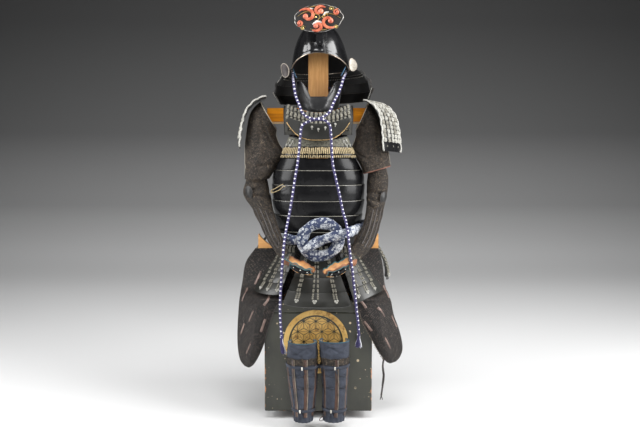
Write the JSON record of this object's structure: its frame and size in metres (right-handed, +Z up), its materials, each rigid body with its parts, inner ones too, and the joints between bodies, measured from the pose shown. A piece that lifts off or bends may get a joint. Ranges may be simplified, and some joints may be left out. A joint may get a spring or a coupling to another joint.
{
  "type": "samurai armour on armour chest and wooden stand",
  "caption": "Suit of samurai armour with lacquered cuirass, helmet, mask, mail sleeves, tassets and shin guards, on a wooden stand and armour chest.",
  "frame": {"origin": "middle of the armour chest's underside, on the floor", "axes": "+Z up, -Y the way the wearer would face, +X towards the wearer's left arm"},
  "size_m": [0.647, 0.5716, 1.5402],
  "materials": {
    "chest_lacquer": "dark olive-black lacquer on wood, worn at the edges",
    "post_wood": "oiled pale brown wood",
    "amber_lacquer": "amber lacquered wood, glossy",
    "board_wood": "bare pale orange wood",
    "black_lacquer": "glossy black lacquer",
    "satin_lacquer": "satin olive-black lacquer",
    "laced_row": "cream lacing over black lacquered lames",
    "grey_leather": "stencilled grey-green leather",
    "ear_brown": "brown-grey leather with a pale rim",
    "ear_white": "worn cream leather",
    "crest_lacquer": "carved plate in black, vermilion, gold and white",
    "mail": "dark brown cloth covered with blackened mail",
    "hand_leather": "orange-brown leather",
    "thigh_cloth": "dark brown quilted cloth with leather bars",
    "shin_cloth": "faded indigo quilted cloth with lacquered splints",
    "sash_cloth": "indigo cotton with a white sprigged print",
    "cord_silk": "purple-navy braided silk with white flecks",
    "tassel_silk": "purple and white silk threads"
  },
  "bodies": {
    "root": {"chest_body": "chest_lacquer", "chest_lid": "chest_lacquer", "stand_base": "post_wood", "stand_post": "post_wood", "stand_shoulder_bar": "amber_lacquer", "stand_hip_board": "board_wood", "cuirass_front_top_plate": "black_lacquer", "cuirass_front_laced_row": "laced_row", "cuirass_front_shell": "black_lacquer", "cuirass_back_top_plate": "black_lacquer", "cuirass_back_laced_row": "laced_row", "cuirass_back_shell": "black_lacquer", "shoulder_strap_right": "grey_leather", "shoulder_strap_left": "grey_leather", "tasset_front": "satin_lacquer", "tasset_front_right": "satin_lacquer", "tasset_front_left": "satin_lacquer", "tasset_rear_right": "satin_lacquer", "tasset_rear_left": "satin_lacquer", "tasset_side_right": "satin_lacquer", "tasset_side_left": "satin_lacquer", "helmet_bowl": "black_lacquer", "neck_guard_lame_1": "black_lacquer", "neck_guard_lame_2": "black_lacquer", "neck_guard_lame_3": "black_lacquer", "neck_guard_lame_4": "black_lacquer", "turnback_right": "ear_brown", "turnback_left": "ear_white", "crest_plate": "crest_lacquer", "crest_stay": "black_lacquer", "face_mask": "black_lacquer", "mask_tie": "cord_silk", "throat_lame_1": "black_lacquer", "throat_lame_2": "black_lacquer", "throat_lame_3": "black_lacquer", "sleeve_right_upper": "mail", "sleeve_left_upper": "mail", "sleeve_right_lower": "mail", "sleeve_left_lower": "mail", "hand_guard_right": "hand_leather", "hand_guard_left": "hand_leather", "shoulder_guard_right": "satin_lacquer", "shoulder_guard_left": "satin_lacquer", "thigh_guard_right": "thigh_cloth", "thigh_guard_left": "thigh_cloth", "thigh_guard_tie": "thigh_cloth", "shin_guard_right": "shin_cloth", "shin_guard_left": "shin_cloth", "sash_band": "sash_cloth", "sash_loop": "sash_cloth", "cord_right": "cord_silk", "cord_left": "cord_silk", "tassel_right": "tassel_silk", "tassel_left": "tassel_silk"}
  },
  "joints": []
}
